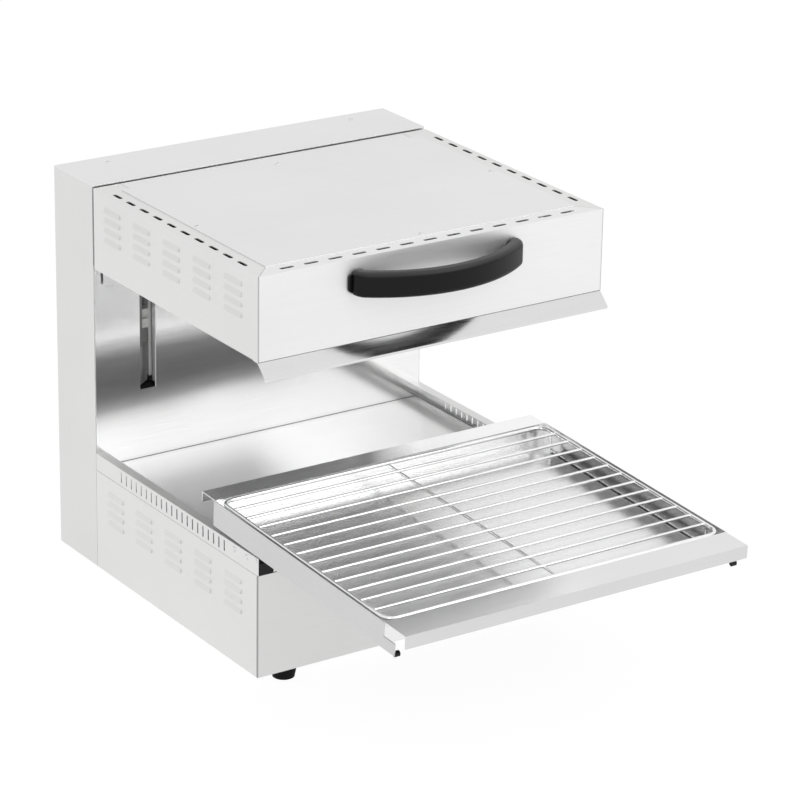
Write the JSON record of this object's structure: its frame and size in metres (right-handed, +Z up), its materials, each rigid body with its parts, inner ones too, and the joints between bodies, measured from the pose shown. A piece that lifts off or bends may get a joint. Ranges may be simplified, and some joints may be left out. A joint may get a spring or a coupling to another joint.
{
  "type": "cheese melter",
  "caption": "Electric cheese melter: a heated hood rises and falls on a rear tower over a pull-out wire-grid tray; control knobs sit in the base front.",
  "frame": {"origin": "on the bench plane, under the middle of the whole in X and Y, with the tray pulled out and the hood raised as drawn", "axes": "+X across the width, to the right of a user at the front; +Y from the tray to the rear tower; +Z up"},
  "size_m": [0.4794, 0.7822, 0.5082],
  "materials": {
    "casing_steel": "fine satin, very light",
    "polished_steel": "polished, with soft reflections",
    "tray_steel": "bright rolled sheet",
    "galvanised_steel": "dull zinc",
    "black_steel": "matt black",
    "element_sheath": "oxidised alloy sheath",
    "wire_rope": "bare wire rope",
    "plated_wire": "bright plated",
    "cast_iron": "rough cast",
    "black_plastic": "satin black",
    "white_nylon": "dull white",
    "amber_lens": "clear amber",
    "rubber": "dull black"
  },
  "bodies": {
    "chassis": {"base_side_left": "casing_steel", "base_side_right": "casing_steel", "base_front": "casing_steel", "base_bottom": "casing_steel", "floor_plate": "polished_steel", "tray_rail_left": "casing_steel", "tray_rail_right": "casing_steel", "rail_rivets": "casing_steel", "rail_end_blocks": "black_plastic", "tower_side_left": "casing_steel", "tower_side_right": "casing_steel", "tower_top": "casing_steel", "tower_front_panel": "polished_steel", "tower_back_panel": "casing_steel", "casing_screws": "casing_steel", "guide_rail_left": "galvanised_steel", "guide_rail_right": "galvanised_steel", "pulley_beam": "galvanised_steel", "pulley_axles": "galvanised_steel", "weight_guide_rods": "galvanised_steel", "cable_hood_side": "wire_rope", "cable_weight_side": "wire_rope", "cable_over_pulleys": "wire_rope", "energy_regulators": "black_plastic", "pilot_lamps": "amber_lens", "terminal_block": "white_nylon", "cord_gland": "black_plastic", "foot_front_left": "rubber", "foot_front_right": "rubber", "foot_rear_left": "rubber", "foot_rear_right": "rubber"},
    "hood": {"hood_side_left": "casing_steel", "hood_side_right": "casing_steel", "hood_front": "casing_steel", "hood_back": "casing_steel", "hood_cover": "casing_steel", "cover_screws": "casing_steel", "heat_deflector": "casing_steel", "hood_reflector": "polished_steel", "heating_element_left": "element_sheath", "heating_element_right": "element_sheath", "element_holders": "galvanised_steel", "hood_handle": "black_plastic", "handle_spacers": "black_plastic", "handle_screws": "galvanised_steel", "carriage_left": "black_steel", "carriage_right": "black_steel", "carriage_glides": "white_nylon"},
    "counterweight": {"counterweight": "cast_iron"},
    "pulley_left": {"pulley_left": "white_nylon"},
    "pulley_right": {"pulley_right": "white_nylon"},
    "glides": {"tray_glides": "black_plastic"},
    "tray": {"tray_pan": "tray_steel", "tray_side_left": "tray_steel", "tray_side_right": "tray_steel", "tray_pins": "black_plastic"},
    "grid": {"grid_frame": "plated_wire", "grid_legs": "plated_wire"},
    "knob_left": {"knob_left": "black_plastic"},
    "knob_right": {"knob_right": "black_plastic"}
  },
  "joints": [
    {"name": "hood_slide", "type": "slide", "parent": "chassis", "child": "hood", "axis": [0, 0, 1], "range_m": [-0.15, 0], "deforming": ["cable_hood_side"]},
    {"name": "counterweight_slide", "type": "slide", "parent": "chassis", "child": "counterweight", "axis": [0, 0, 1], "range_m": [0, 0.15], "deforming": ["cable_weight_side"]},
    {"name": "pulley_left_spin", "type": "hinge", "parent": "chassis", "child": "pulley_left", "pos_m": [-0.137, 0.33222, 0.47], "axis": [0, -1, 0], "range_deg": [0, 360]},
    {"name": "pulley_right_spin", "type": "hinge", "parent": "chassis", "child": "pulley_right", "pos_m": [0.137, 0.33222, 0.47], "axis": [0, 1, 0], "range_deg": [0, 360]},
    {"name": "tray_tilt", "type": "hinge", "parent": "chassis", "child": "glides", "pos_m": [0, -0.08838, 0.1618], "axis": [1, 0, 0], "range_deg": [-2.4, 0]},
    {"name": "tray_slide", "type": "slide", "parent": "glides", "child": "tray", "axis": [0, 0.9991, 0.0419], "range_m": [0, 0.245]},
    {"name": "grid_lift", "type": "slide", "parent": "tray", "child": "grid", "axis": [0, -0.0419, 0.9991], "range_m": [0, 0.03]},
    {"name": "knob_left_turn", "type": "hinge", "parent": "chassis", "child": "knob_left", "pos_m": [0.07125, -0.09288, 0.079], "axis": [0, 1, 0], "range_deg": [0, 300]},
    {"name": "knob_right_turn", "type": "hinge", "parent": "chassis", "child": "knob_right", "pos_m": [0.152, -0.09288, 0.079], "axis": [0, 1, 0], "range_deg": [0, 300]}
  ],
  "couplings": [
    {"joint": "counterweight_slide", "follows": "hood_slide", "ratio": -1},
    {"joint": "pulley_left_spin", "follows": "hood_slide", "rad_per_m": -41.667},
    {"joint": "pulley_right_spin", "follows": "hood_slide", "rad_per_m": -41.667}
  ]
}
